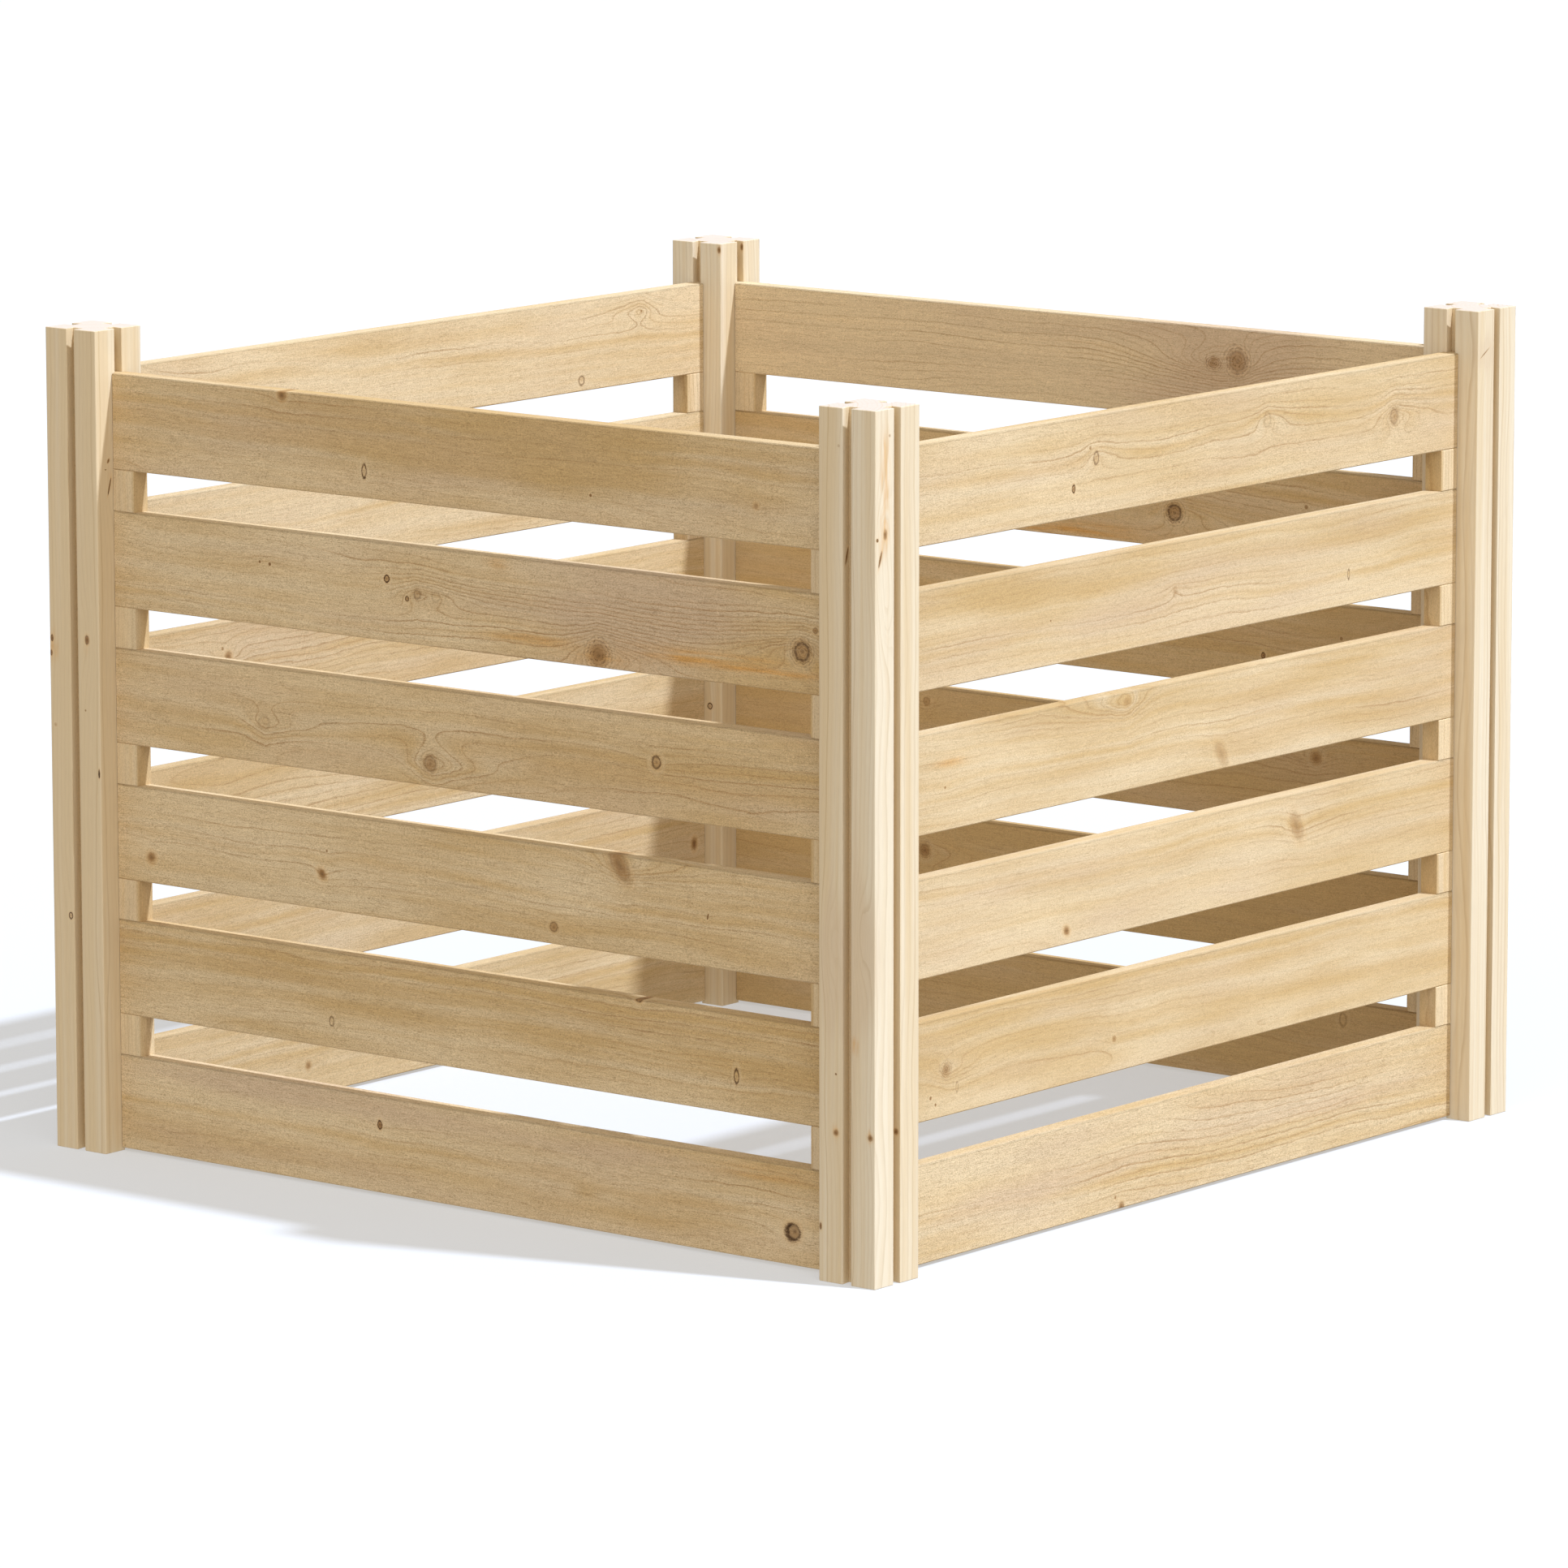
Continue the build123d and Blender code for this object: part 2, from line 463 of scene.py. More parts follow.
class JoinerySizes(bpy.types.PropertyGroup):
    """Sizes of the dovetail joints and the eased edges."""

    groove_mouth: length("Groove mouth", 9.0, "Width of a groove at the face of its post")
    groove_depth: length("Groove depth", 11.0, "How far a groove goes into its post")
    groove_flare: angle("Groove flare", 8.0, "How far each side of a groove leans outwards")
    groove_lip: length("Groove lip", 0.8, "Rounding of the edges of a groove's mouth")
    post_arris: length("Post arris", 1.0, "Rounding of the long corners of a post")
    post_end_arris: length("Post end arris", 0.4, "Bevel round the ends of a post")
    shoulder_gap: length("Shoulder gap", 0.5, "Room between a shoulder and its post")
    tongue_side_gap: length("Tongue side gap", 0.4, "Room between a tongue and its groove's side")
    board_arris: length("Board arris", 1.0, "Bevel along the long edges of a board")
    spacer_length: length("Spacer length", 25.5, "Length of a spacer block without its tongue")
    spacer_arris: length("Spacer arris", 0.6, "Bevel along the edges of a spacer block")
    step_along: length("Step along", 4.0, "Mesh step along a board")
    step_across: length("Step across", 3.0, "Mesh step across a board or block")
    post_step: length("Post step", 8.0, "Mesh step along a post")
    post_strips: IntProperty(
        name="Post strips", description="Strips on each side of a groove", default=6, min=1
    )
    saw_relief: length("Saw relief", 0.1, "Height of the waves that the saw left")
    knot_relief: length("Knot relief", 0.35, "How far a bold knot stands back from its board")
    hole_depth: length("Hole depth", 3.2, "Depth of the hollow in a loose knot")
    hole_ragged: length("Ragged edge", 0.7, "How far the edge of a hollow strays from a circle")


class TimberFinish(bpy.types.PropertyGroup):
    """Colours and grain of the timber."""

    board_pale: colour("Board pale", (0.73, 0.59, 0.39), "Palest wood of a sawn board")
    board_ochre: colour("Board ochre", (0.55, 0.385, 0.185), "Yellow-brown wood of a sawn board")
    board_pink: colour("Board pink", (0.60, 0.46, 0.325), "Greyed pink wood of a sawn board")
    latewood: colour("Latewood", (0.345, 0.185, 0.065), "Dark edge of a growth ring")
    # Partly the colour of torn fibres and partly painted shade in the fuzz.
    fleck: colour("Fleck", (0.36, 0.21, 0.075), "Torn fibres left by the saw")
    knot_tan: colour("Knot heart", (0.33, 0.18, 0.07), "Wood inside a knot")
    knot_rim: colour("Knot rim", (0.09, 0.045, 0.02), "Ring of bark round a knot")
    # Painted shade: this near-black stands for the shade inside a hole or crack that the mesh does not
    # have.
    hole: colour("Hole", (0.05, 0.028, 0.014), "Bottom of a hole left by a loose knot")
    resin: colour("Resin", (0.63, 0.35, 0.115), "Resin and red heartwood")
    post_cream: colour("Post cream", (0.755, 0.67, 0.53), "Pale wood of a planed post")
    post_yellow: colour("Post yellow", (0.68, 0.55, 0.365), "Yellow bands of a planed post")
    post_pink: colour("Post pink", (0.64, 0.51, 0.365), "Brownish pink bands of a planed post")
    post_end: colour("Post end", (0.655, 0.565, 0.505), "End grain of a post")
    post_line: colour("Post line", (0.47, 0.33, 0.17), "Dark edge of a growth ring in a post")
    board_ring: amount("Board ring", 5.0, "Growth ring in a board, in millimetres", min=0.1)
    post_ring: amount("Post ring", 4.2, "Growth ring in a post, in millimetres", min=0.1)


class StageLook(bpy.types.PropertyGroup):
    """Sun, sky, floor and camera."""

    sun_azimuth: angle("Sun azimuth", 16.6, "Way to the sun, from +X towards +Y")
    sun_elevation: angle("Sun elevation", 55.9, "Height of the sun above the ground")
    sun_size: angle("Sun size", 2.3, "How wide the sun looks, which softens the shadows")
    sun_strength: amount("Sun strength", 4.16, "Strength of the sun lamp", min=0)
    sun_colour: colour("Sun colour", (0.817, 0.889, 1.0), "Colour of the sun")
    fill_azimuth: angle("Fill azimuth", -52.0, "Way to the soft fill lamp, from +X towards +Y")
    fill_elevation: angle("Fill elevation", 25.0, "Height of the fill lamp above the ground")
    fill_size: angle("Fill size", 70.0, "How wide the fill lamp looks")
    fill_strength: amount("Fill strength", 1.23, "Strength of the fill lamp", min=0)
    fill_colour: colour("Fill colour", (1.0, 0.931, 0.825), "Colour of the fill lamp")
    sky_strength: amount("Sky strength", 0.65, "Strength of the light from all round", min=0)
    sky_colour: colour("Sky colour", (0.80, 0.745, 0.66), "Colour of the light from all round")
    floor_colour: colour("Floor colour", (0.645, 0.69, 0.775), "Colour of the floor's matt share")
    floor_glow: amount("Floor glow", 0.42, "Share of plain white in the floor as seen", min=0, max=1)
    floor_side: length("Floor side", 60000, "Side of the floor")
    floor_drop: length("Floor drop", 0.2, "How far the floor lies under the posts")
    camera_place: FloatVectorProperty(
        name="Camera place",
        description="Where the camera stands",
        default=(5.3187, -6.6402, 1.7928),
        size=3,
        subtype="XYZ",
        unit="LENGTH",
    )
    camera_turn: angle("Camera turn", 38.7161, "Turn of the camera about the upright axis")
    camera_tilt: angle("Camera tilt", 80.2362, "Tilt of the camera, 90 degrees is level")
    camera_roll: angle("Camera roll", -0.061, "Roll of the camera about its own line of sight")
    camera_lens: amount("Camera lens", 211.98, "Focal length in millimetres", min=1)


class Value:
    """An output socket that can be used in sums, which add their Math nodes."""

    def __init__(self, sheet, socket):
        self.sheet = sheet
        self.socket = socket

    def __add__(self, other):
        return self.sheet.maths("ADD", self, other)

    def __sub__(self, other):
        return self.sheet.maths("SUBTRACT", self, other)

    def __rsub__(self, other):
        return self.sheet.maths("SUBTRACT", other, self)

    def __mul__(self, other):
        return self.sheet.maths("MULTIPLY", self, other)

    def __truediv__(self, other):
        return self.sheet.maths("DIVIDE", self, other)

    __radd__ = __add__
    __rmul__ = __mul__


class Sheet:
    """The node tree of a finish or of the sky."""

    def __init__(self, tree):
        self.tree = tree
        tree.nodes.clear()

    def node(self, kind, settings=None, sockets=None, output=0):
        """Adds a node, with its settings and then a value or a link for each socket named."""
        made = self.tree.nodes.new(kind)
        for name, setting in (settings or {}).items():
            setattr(made, name, setting)
        for name, value in (sockets or {}).items():
            if isinstance(value, Value):
                self.tree.links.new(value.socket, made.inputs[name])
            else:
                made.inputs[name].default_value = value
        if made.outputs:
            return Value(self, made.outputs[output])

    def maths(self, operation, *values):
        return self.node("ShaderNodeMath", {"operation": operation}, dict(enumerate(values)))

    def fade(self, value, start, end):
        """A smooth step from 0 at the start to 1 at the end."""
        ends = {"Value": value, "From Min": start, "From Max": end}
        return self.node("ShaderNodeMapRange", {"interpolation_type": "SMOOTHSTEP"}, ends)

    def hump(self, value, middle, half_width):
        """A smooth rise to 1 at the middle and back to 0."""
        away = self.maths("ABSOLUTE", value - middle)
        return 1 - self.fade(away, 0, half_width)

    def attribute(self, name, output="Vector"):
        return self.node("ShaderNodeAttribute", {"attribute_name": name}, output=output)

    def split(self, vector):
        """The three numbers of a vector."""
        parts = self.node("ShaderNodeSeparateXYZ", None, {"Vector": vector})
        return [Value(self, socket) for socket in parts.socket.node.outputs]

    def stretch(self, vector, lengths):
        """A vector measured in its own length along each axis."""
        return self.node(
            "ShaderNodeVectorMath", {"operation": "DIVIDE"}, {0: vector, 1: Vector(lengths)}
        )

    def turned(self, vector, degrees):
        """A vector turned about its third axis."""
        turn = (0, 0, math.radians(degrees))
        return self.node("ShaderNodeMapping", None, {"Vector": vector, "Rotation": turn})

    def noise(self, vector, detail=2.0, roughness=0.5, output="Fac"):
        return self.node(
            "ShaderNodeTexNoise",
            None,
            {"Vector": vector, "Scale": 1.0, "Detail": detail, "Roughness": roughness},
            output,
        )

    def grain_noise(self, grain, along, across, **settings):
        """A noise with spots of so many millimetres along and across the grain."""
        return self.noise(self.stretch(grain, (along, across, across)), **settings)

    def ripple(self, number):
        """A soft noise that changes with one number."""
        return self.node(
            "ShaderNodeTexNoise", {"noise_dimensions": "1D"}, {"W": number, "Scale": 1.0, "Detail": 1.0}
        )

    def random(self, number):
        """A random number for each whole number."""
        return self.node("ShaderNodeTexWhiteNoise", {"noise_dimensions": "1D"}, {"W": number})

    def mix(self, share, under, over):
        """One colour over another by a share."""
        return self.node(
            "ShaderNodeMix",
            {"data_type": "RGBA"},
            {0: share, 6: self.paint(under), 7: self.paint(over)},
            output=2,
        )

    def paint(self, shade):
        """A colour as a socket takes it."""
        return shade if isinstance(shade, Value) else (*shade, 1.0)

    def brighten(self, shade, factor):
        """A colour times a number."""
        return self.node(
            "ShaderNodeVectorMath", {"operation": "SCALE"}, {"Vector": shade, "Scale": factor}
        )


def material_sheet(name):
    """A new material and its empty node tree."""
    material = bpy.data.materials.new(name)
    material.use_nodes = True
    return material, Sheet(material.node_tree)


def growth_rings(sheet, grain, swirl, slope, width, sway, even=0.0):
    """How far into the dark edge of its growth ring each point lies, from 0 to 1, and its ring.

    The slope is how fast the rings follow each other on the surface, so that their dark edges
    keep an even width where the grain runs flat. Where it is even, all rings are alike.
    """
    drift = sheet.grain_noise(grain, 190, 70, detail=1, output="Color")
    drift_across, drift_through, drift_phase = sheet.split(drift)
    quiver = (sheet.grain_noise(grain, 16, 6, detail=1) - 0.5) * slope
    _, across, through = sheet.split(grain)
    across = across + (drift_across - 0.5) * sway
    through = through + (drift_through - 0.5) * sway
    radius = sheet.maths("SQRT", across * across + through * through) + swirl + quiver * sway * 0.25
    phase = radius / width + drift_phase * 3
    part = sheet.maths("FRACT", phase)
    strength = sheet.random(sheet.maths("FLOOR", phase))
    bold = 0.15 + 0.85 * strength * strength
    bold = bold + even * (0.35 + strength * 0.4 - bold)
    to_edge = (1 - part) * width / slope
    return sheet.fade(to_edge, 2.1, 0.3) * bold, phase


def add_knots(sheet, wood, grain, finish):
    """The wood's colour with knots in it, and how far their rims stand back, from 0 to 1."""
    aside, above, rings = sheet.split(sheet.attribute("knot"))
    rim_share, fill, hole = sheet.split(sheet.attribute("knot_look"))
    warp = sheet.grain_noise(grain, 3.4, 2, detail=3, roughness=0.65, output="Color")
    warp_aside, warp_above, mottle = sheet.split(warp)
    aside = aside + (warp_aside - 0.5) * 0.6
    above = above + (warp_above - 0.5) * 0.6
    away = sheet.maths("SQRT", aside * aside + above * above)
    bold = sheet.maths("MAXIMUM", rim_share, fill)
    halo = sheet.hump(away, 1.7, 0.8) * bold
    stain = (1 - sheet.fade(away, 0.6, 2.0)) * (0.3 * bold + 0.5 * fill)
    heart = (1 - sheet.fade(away, 0.5, 1.05)) * fill * (0.6 + mottle)
    rim = sheet.hump(away, 0.9, 0.36) * rim_share * sheet.fade(mottle, 0.15, 0.5)
    pith = (1 - sheet.fade(away, 0.05, 0.3)) * rim_share * 0.4
    pith = pith + (1 - sheet.fade(away, 0.1, 0.75)) * fill * 0.5
    years = sheet.hump(sheet.maths("FRACT", away * 2.8), 0.5, 0.4) * sheet.fade(mottle, 0.3, 0.6)
    years = years * rings * (1 - sheet.fade(away, 1.0, 2.4)) * 0.7

    wood = sheet.mix(halo * 0.25, wood, finish.board_pale)
    wood = sheet.mix(stain * 0.6, wood, finish.resin)
    wood = sheet.mix(heart, wood, finish.knot_tan)
    wood = sheet.mix(sheet.maths("MAXIMUM", years, rim + pith), wood, finish.knot_rim)
    # Painted shade: a knot's hole is painted near-black, with no hollow in the mesh.
    wood = sheet.mix((1 - sheet.fade(away, 0.75, 1.0)) * hole, wood, finish.hole)
    return wood, rim + hole * (1 - sheet.fade(away, 0.7, 1.0))


def wood_shader(sheet, wood, roughness, height, distance):
    """Joins colour, roughness and relief in the material's output."""
    normal = sheet.node("ShaderNodeBump", None, {"Distance": distance, "Height": height})
    look = {"Base Color": wood, "Roughness": roughness, "Specular IOR Level": 0.25, "Normal": normal}
    shader = sheet.node("ShaderNodeBsdfPrincipled", None, look)
    sheet.node("ShaderNodeOutputMaterial", None, {"Surface": shader})


def sawn_finish(finish):
    """Rough-sawn softwood: soft bands, growth rings in places, fuzz left by the saw partly painted as
    shade and highlights, painted shade under the top arris, and knots.
    """
    material, sheet = material_sheet("sawn_softwood")
    grain = sheet.attribute("grain")
    swirl, figure, slope = sheet.split(sheet.attribute("flow"))
    ochre, pink, resin = sheet.split(sheet.attribute("tone"))
    rough, through, up = sheet.split(sheet.attribute("place"))

    flamed = sheet.fade(figure, 0.05, 0.35)
    lines, ring = growth_rings(sheet, grain, swirl, slope, finish.board_ring, 12, flamed)
    band = sheet.grain_noise(grain, 340, 14, detail=3)
    cloud = sheet.grain_noise(grain, 170, 34, detail=1, output="Color")
    cloud_ochre, cloud_pink, cloud_figure = sheet.split(cloud)
    streaks = (band - 0.5) * 1.1 + (sheet.ripple(ring * 0.45) - 0.5) * 1.4
    ochre_share = sheet.fade(ochre + streaks + cloud_ochre - 0.5, -0.2, 1.2)
    wood = sheet.mix(ochre_share, finish.board_pale, finish.board_ochre)
    pink_share = sheet.fade(cloud_pink * 0.8 + pink, 0.35, 1.1)
    wood = sheet.mix(pink_share * 0.85, wood, finish.board_pink)
    rows = sheet.grain_noise(grain, 60, 5, detail=2) - 0.5
    wood = sheet.mix(resin * (0.75 + rows * 3), wood, finish.resin)

    grit = sheet.grain_noise(grain, 1.6, 0.6, detail=2, roughness=0.75) - 0.5
    fibre = sheet.grain_noise(grain, 15, 0.9, detail=2, roughness=0.6) - 0.5
    grit = (grit + fibre * 0.4) * rough
    across = sheet.stretch(sheet.turned(grain, 55), (3.4, 0.7, 1.2))
    with_grain = sheet.stretch(grain, (4.5, 0.7, 0.9))
    way = sheet.mix(sheet.fade(cloud_pink, 0.495, 0.505), across, with_grain)
    marks = sheet.fade(sheet.noise(way, detail=1, roughness=0.6) + rows * 0.3, 0.55, 0.7) * rough
    shown = 0.2 + 0.7 * sheet.fade(cloud_figure + figure, 0.46, 0.86)
    lines = lines * shown * (0.4 + 0.5 * rough - grit * 1.5)
    wood = sheet.mix(lines, wood, finish.latewood)
    # The dark flecks and the light and dark speckle are partly the wood's own colour and partly painted
    # shade and painted highlights in the fuzz.
    wood = sheet.mix(marks * 0.25 + sheet.fade(grit, 0.05, -0.3) * 0.5, wood, finish.fleck)
    wood = sheet.brighten(wood, 0.98 + grit * 1.1 + streaks * 0.11)
    # Painted shade: a thin dark band along the top arris of each broad face of a board.
    arris = sheet.fade(up, 0.95, 0.985)
    arris = arris * sheet.fade(sheet.maths("ABSOLUTE", through), 0.82, 0.92)
    wood = sheet.brighten(wood, 1 - arris * 0.28)
    wood, sunk = add_knots(sheet, wood, grain, finish)

    height = grit - marks * 0.5 - lines * 0.5 - sunk * 1.5
    wood_shader(sheet, wood, 0.84 + grit * 0.1, height, 0.1 * MM)
    return material


def planed_finish(finish):
    """Planed softwood: straight pale bands, fine dark ring edges and small knots, with painted shade
    deeper in the grooves and a painted highlight along the long corners.
    """
    material, sheet = material_sheet("planed_softwood")
    grain = sheet.attribute("grain")
    swirl, sawn, edge = sheet.split(sheet.attribute("flow"))
    ochre, pink, resin = sheet.split(sheet.attribute("tone"))

    band = sheet.grain_noise(grain, 600, 9, detail=2, output="Color")
    band_ochre, band_pink, band_line = sheet.split(band)
    ochre_share = sheet.fade(band_ochre + ochre, 0.75, 1.25)
    wood = sheet.mix(ochre_share, finish.post_cream, finish.post_yellow)
    wood = sheet.mix(sheet.fade(band_pink + pink, 0.5, 0.9) * 0.6, wood, finish.post_pink)
    lines, ring = growth_rings(sheet, grain, swirl, 0.8, finish.post_ring, 4)
    streak = sheet.ripple(ring * 1.3)
    patchy = sheet.grain_noise(grain, 26, 3, detail=2) - 0.5
    bleed = sheet.fade(resin + resin * ((streak - 0.5) * 1.2 + patchy * 2.5), 0.1, 1.1)
    wood = sheet.mix(bleed * 0.7, wood, finish.resin)
    wood = sheet.mix((streak - 0.5) * 0.9, wood, finish.post_yellow)
    wood = sheet.mix(sheet.attribute("end", "Fac"), wood, finish.post_end)
    wood = sheet.mix(lines * (0.2 + band_line * 0.6), wood, finish.post_line)
    fibre = sheet.grain_noise(grain, 16, 0.9, detail=2) - 0.5
    rough = sheet.grain_noise(grain, 1.8, 1.6, detail=2) - 0.5
    speck = fibre * 0.14 + rough * sawn * 0.7
    wood = sheet.brighten(wood, 1 + speck)
    # Painted highlight along the long corners of the post.
    wood = sheet.mix(edge * 0.3, wood, finish.post_cream)
    wood, sunk = add_knots(sheet, wood, grain, finish)

    height = speck - lines * 0.15 - sunk * 0.8
    wood_shader(sheet, wood, 0.58 + fibre * 0.1 + sawn * 0.2, height, 0.3 * MM)
    return material


def clear_selection():
    bpy.ops.object.select_all(action="DESELECT")


def hold(piece):
    """Makes one piece the only selected and the active one."""
    clear_selection()
    piece.select_set(True)
    bpy.context.view_layer.objects.active = piece


def add_block(name, low, high):
    """A block between two corners, with its place in its mesh."""
    clear_selection()
    low, high = Vector(low), Vector(high)
    bpy.ops.mesh.primitive_cube_add(size=1, location=(low + high) / 2, scale=high - low)
    piece = bpy.context.object
    piece.name = name
    piece.data.name = name
    bpy.ops.object.transform_apply(location=True, rotation=True, scale=True)
    return piece


@contextlib.contextmanager
def editing(piece):
    """Opens a piece in edit mode and closes it again."""
    hold(piece)
    bpy.ops.object.mode_set(mode="EDIT")
    yield
    bpy.ops.object.mode_set(mode="OBJECT")


def pick(piece, kind, test):
    """Selects those vertices, edges or faces of the piece in edit mode that pass a test."""
    bpy.ops.mesh.select_mode(type=kind)
    bpy.ops.mesh.select_all(action="DESELECT")
    shape = bmesh.from_edit_mesh(piece.data)
    members = {"VERT": shape.verts, "EDGE": shape.edges, "FACE": shape.faces}[kind]
    for member in members:
        if test(member):
            member.select_set(True)
    bmesh.update_edit_mesh(piece.data)


def near(a, b):
    """Whether two lengths are equal within the model's tolerance."""
    return abs(a - b) < TOLERANCE


def turned_to(face, axis, side):
    """Whether a face looks along an axis, to its positive or its negative side."""
    return face.normal[axis] * side > FACING


def runs_along(edge, axis):
    """Whether an edge runs along one of the three axes."""
    way = edge.verts[1].co - edge.verts[0].co
    return abs(way[axis]) > 0.999 * way.length


def middle(edge):
    """The middle of an edge."""
    return (edge.verts[0].co + edge.verts[1].co) / 2


def bisect_all(axis, place):
    """Cuts all faces of the piece in edit mode across one axis."""
    normal = Vector((0, 0, 0))
    normal[axis] = 1
    bpy.ops.mesh.select_all(action="SELECT")
    bpy.ops.mesh.bisect(plane_co=normal * place, plane_no=normal)


def ease(piece, width, segments, test):
    """Bevels the edges that pass a test."""
    pick(piece, "EDGE", test)
    bpy.ops.mesh.bevel(offset=width, segments=segments, profile=0.5, affect="EDGES")


def refine(piece, step, test):
    """Cuts the edges that pass a test, all of about one length, into even steps."""
    pick(piece, "EDGE", test)
    shape = bmesh.from_edit_mesh(piece.data)
    longest = max(edge.calc_length() for edge in shape.edges if edge.select)
    cuts = max(1, round(longest / step) - 1)
    bpy.ops.mesh.subdivide(number_cuts=cuts, smoothness=0)


def groove_half_width(joinery, depth):
    """Half the width of a groove at a depth below the face of its post."""
    return joinery.groove_mouth / 2 + depth * math.tan(joinery.groove_flare)


def tongue_half_width(joinery, depth):
    """Half the width of a tongue at a depth below the face of its post."""
    inset = joinery.tongue_side_gap / math.cos(joinery.groove_flare)
    return groove_half_width(joinery, depth) - inset


def shoulder_place(joinery):
    """Where the shoulders on the right-hand side stand, along the front wall."""
    return POST_FACE - joinery.shoulder_gap


def pull_tongue(piece, joinery, shoulder, side):
    """Extrudes the middle strip of an end into a flared tongue."""
    root = tongue_half_width(joinery, -joinery.shoulder_gap)
    tip = tongue_half_width(joinery, TONGUE_END - POST_FACE)
    reach = TONGUE_END - shoulder_place(joinery)
    pick(
        piece,
        "FACE",
        lambda face: turned_to(face, 0, side) and abs(face.calc_center_median().y) < root / 2,
    )
    bpy.ops.mesh.extrude_region_move(TRANSFORM_OT_translate={"value": (side * reach, 0, 0)})
    end = (shoulder + side * reach, 0, 0)
    bpy.ops.transform.resize(value=(1, tip / root, 1), center_override=end)


def make_slat(name, joinery, ends, height, arris, tongue_sides):
    """A block along X with square shoulders, flared tongues and eased long edges."""
    low_x, high_x = ends
    face = BOARD_THICKNESS / 2
    root = tongue_half_width(joinery, -joinery.shoulder_gap)
    slat = add_block(name, (low_x, -face, 0), (high_x, face, height))
    with editing(slat):
        bisect_all(1, -root)
        bisect_all(1, root)
        for side in tongue_sides:
            pull_tongue(slat, joinery, high_x if side > 0 else low_x, side)
        ease(slat, arris, 1, lambda edge: runs_along(edge, 0) and near(abs(middle(edge).y), face))
        refine(slat, joinery.step_along, lambda edge: runs_along(edge, 0))
        refine(slat, joinery.step_across, lambda edge: runs_along(edge, 2))
    bpy.ops.object.shade_smooth_by_angle(angle=SMOOTH_ANGLE)
    return slat


def open_ends(post):
    """Deletes the faces at both ends of a post in edit mode."""
    pick(post, "FACE", lambda face: abs(face.normal.z) > FACING)
    bpy.ops.mesh.delete(type="FACE")


def make_post(name, joinery):
    """A square post, upright on the origin, with a dovetail groove in each face."""
    face = POST_SIDE / 2
    mouth = groove_half_width(joinery, 0)
    floor = groove_half_width(joinery, joinery.groove_depth)
    post = add_block(name, (-face, -face, 0), (face, face, POST_HEIGHT))
    with editing(post):
        for axis in (0, 1):
            bisect_all(axis, -mouth)
            bisect_all(axis, mouth)
        open_ends(post)
        for axis, side in ((0, -1), (0, 1), (1, -1), (1, 1)):
            sink_groove(post, axis, side, face, floor / mouth, joinery.groove_depth)
        open_ends(post)
        for end in (0, POST_HEIGHT):
            pick(post, "EDGE", lambda edge: edge.is_boundary and near(middle(edge).z, end))
            bpy.ops.mesh.edge_face_add()
        bpy.ops.mesh.select_all(action="SELECT")
        bpy.ops.mesh.normals_make_consistent(inside=False)
        ease(
            post,
            joinery.groove_lip,
            3,
            lambda edge: runs_along(edge, 2)
            and near(max(abs(middle(edge).x), abs(middle(edge).y)), face)
            and near(min(abs(middle(edge).x), abs(middle(edge).y)), mouth),
        )
        ease(
            post,
            joinery.post_arris,
            3,
            lambda edge: runs_along(edge, 2)
            and near(abs(middle(edge).x), face)
            and near(abs(middle(edge).y), face),
        )
        ease(
            post,
            joinery.post_end_arris,
            1,
            lambda edge: near(middle(edge).z, 0) or near(middle(edge).z, POST_HEIGHT),
        )
        strip = (face - mouth) / 2
        refine(
            post,
            (face - mouth) / joinery.post_strips,
            lambda edge: not runs_along(edge, 2) and edge.calc_length() > strip,
        )
        refine(
            post,
            joinery.post_step,
            lambda edge: runs_along(edge, 2) and edge.calc_length() > strip,
        )
    bpy.ops.object.shade_smooth_by_angle(angle=SMOOTH_ANGLE)
    return post


def sink_groove(post, axis, side, face, flare, depth):
    """Pushes the middle strip of one face of a post inwards and widens it to a dovetail."""
    pick(
        post,
        "FACE",
        lambda strip: turned_to(strip, axis, side) and abs(strip.calc_center_median()[1 - axis]) < MM,
    )
    push = [0, 0, 0]
    push[axis] = -side * depth
    bpy.ops.mesh.extrude_region_move(TRANSFORM_OT_translate={"value": push})
    widen = [1, 1, 1]
    widen[1 - axis] = flare
    centre = [0, 0, 0]
    centre[axis] = side * (face - depth)
    bpy.ops.transform.resize(value=widen, center_override=centre)


def own_copy(piece, name):
    """A copy of a piece with its own mesh."""
    twin = piece.copy()
    twin.data = piece.data.copy()
    twin.name = name
    twin.data.name = name
    bpy.context.collection.objects.link(twin)
    return twin


def vertex_places(mesh):
    """The places of a mesh's vertices, in millimetres."""
    flat = np.empty(len(mesh.vertices) * 3)
    mesh.vertices.foreach_get("co", flat)
    return flat.reshape(-1, 3) / MM


def write_layer(mesh, name, values, domain="POINT"):
    """Keeps three numbers for each vertex or face corner under a name that the finishes read."""
    layer = mesh.attributes.new(name, "FLOAT_VECTOR", domain)
    layer.data.foreach_set("vector", np.asarray(values, dtype=np.float32).ravel())


def face_sides(mesh):
    """How many sides each face of a mesh has."""
    sides = np.empty(len(mesh.polygons), dtype=np.int32)
    mesh.polygons.foreach_get("loop_total", sides)
    return sides


